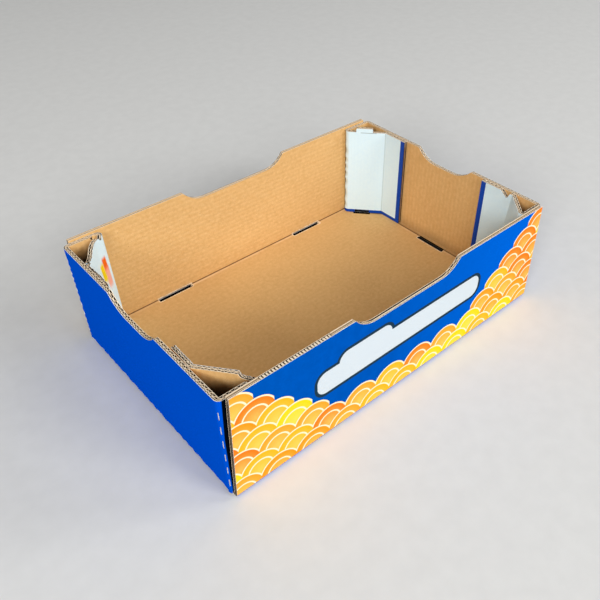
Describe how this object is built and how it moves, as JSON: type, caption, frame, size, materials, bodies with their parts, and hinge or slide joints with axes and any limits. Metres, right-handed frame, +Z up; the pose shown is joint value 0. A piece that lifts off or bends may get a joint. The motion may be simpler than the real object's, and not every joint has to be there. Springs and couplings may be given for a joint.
{
  "type": "cardboard tray box",
  "caption": "Open-topped rectangular fruit tray of corrugated cardboard with folded corner posts, scooped top edges and stacking slots in the floor.",
  "frame": {"origin": "centre of the footprint, on the underside of the floor", "axes": "+X along the tray's length to the right, +Y to the back wall, +Z up; the printed front wall faces -Y"},
  "size_m": [0.597, 0.398, 0.183],
  "materials": {
    "board": "matt kraft board, printed and white on the outside"
  },
  "bodies": {
    "root": {"tray": "board"}
  },
  "joints": []
}
